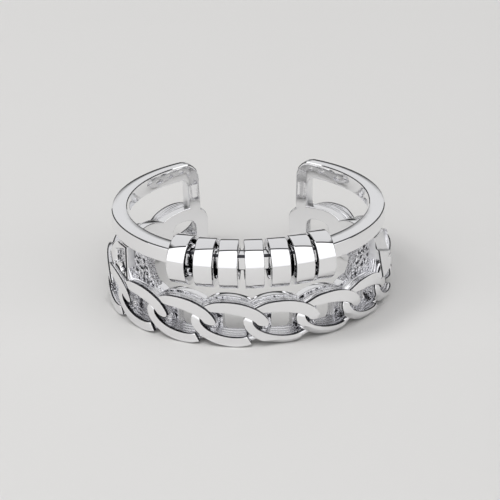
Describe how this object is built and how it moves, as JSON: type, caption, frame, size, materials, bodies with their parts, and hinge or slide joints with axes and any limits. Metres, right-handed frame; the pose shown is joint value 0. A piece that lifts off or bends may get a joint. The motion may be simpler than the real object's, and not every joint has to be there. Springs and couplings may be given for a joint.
{
  "type": "spinner ring",
  "caption": "Open double finger ring: a fused curb chain band joined by side webs to a plain rail that carries loose spinning sleeves.",
  "frame": {"origin": "on the finger axis, at the lower plane of the chain band, which is the plane that the ring rests on", "axes": "+Z is the finger axis, up from the chain band to the rail; -Y is the front with the sleeves; the opening is at +Y; +X is to the right seen from the front"},
  "size_m": [0.0208, 0.0211, 0.0078],
  "materials": {
    "band_silver": "cast silver, polished on its faces and left rough in its recesses",
    "spinner_silver": "turned silver, mirror polished"
  },
  "bodies": {
    "band": {"band": "band_silver"},
    "spinner_1": {"spinner_1": "spinner_silver"},
    "spinner_2": {"spinner_2": "spinner_silver"},
    "spinner_3": {"spinner_3": "spinner_silver"},
    "spinner_4": {"spinner_4": "spinner_silver"},
    "spinner_5": {"spinner_5": "spinner_silver"},
    "spinner_6": {"spinner_6": "spinner_silver"},
    "spinner_7": {"spinner_7": "spinner_silver"}
  },
  "joints": [
    {"name": "spinner_1_turn", "type": "hinge", "parent": "band", "child": "spinner_1", "pos_m": [-0.00458, -0.00832, 0.00608], "axis": [0.91, -0.4147, 0], "continuous": true},
    {"name": "spinner_2_turn", "type": "hinge", "parent": "band", "child": "spinner_2", "pos_m": [-0.00297, -0.00902, 0.00608], "axis": [0.9744, -0.225, 0], "continuous": true},
    {"name": "spinner_3_turn", "type": "hinge", "parent": "band", "child": "spinner_3", "pos_m": [-0.00139, -0.0094, 0.00608], "axis": [0.9945, -0.1045, 0], "continuous": true},
    {"name": "spinner_4_turn", "type": "hinge", "parent": "band", "child": "spinner_4", "pos_m": [0.0003, -0.0095, 0.00608], "axis": [0.999, 0.0436, 0], "continuous": true},
    {"name": "spinner_5_turn", "type": "hinge", "parent": "band", "child": "spinner_5", "pos_m": [0.00196, -0.0093, 0.00608], "axis": [0.9848, 0.1736, 0], "continuous": true},
    {"name": "spinner_6_turn", "type": "hinge", "parent": "band", "child": "spinner_6", "pos_m": [0.0035, -0.00883, 0.00608], "axis": [0.9573, 0.289, 0], "continuous": true},
    {"name": "spinner_7_turn", "type": "hinge", "parent": "band", "child": "spinner_7", "pos_m": [0.00489, -0.00814, 0.00608], "axis": [0.9272, 0.3746, 0], "continuous": true}
  ]
}
